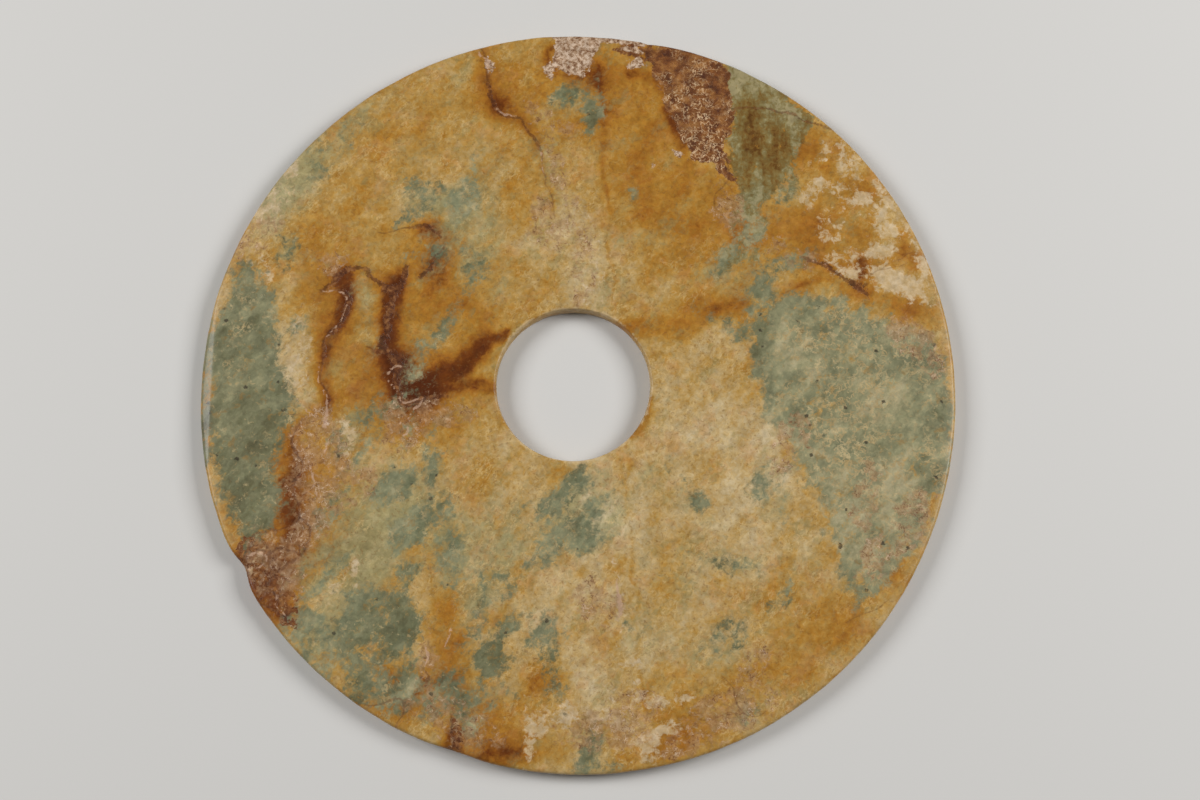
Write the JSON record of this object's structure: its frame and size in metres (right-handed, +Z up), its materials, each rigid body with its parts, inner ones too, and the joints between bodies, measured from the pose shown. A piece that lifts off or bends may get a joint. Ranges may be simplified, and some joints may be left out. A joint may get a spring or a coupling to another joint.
{
  "type": "jade bi disc",
  "caption": "Flat round ritual disc of mottled jade with a round hole through its middle, worn at the rim and marked across one face by an old saw cut.",
  "frame": {"origin": "on the surface the disc lies on, below the middle of the outline's bounding box", "axes": "+Z up out of the upper face, the face with the saw mark; the saw mark runs nearly along Y; +X to the right of it as seen from above"},
  "size_m": [0.2802, 0.2806, 0.007],
  "materials": {
    "jade": "old hand polish, honey and cream with green areas, brown veins and rough pale crusts"
  },
  "bodies": {
    "root": {"bi_disc": "jade"}
  },
  "joints": []
}
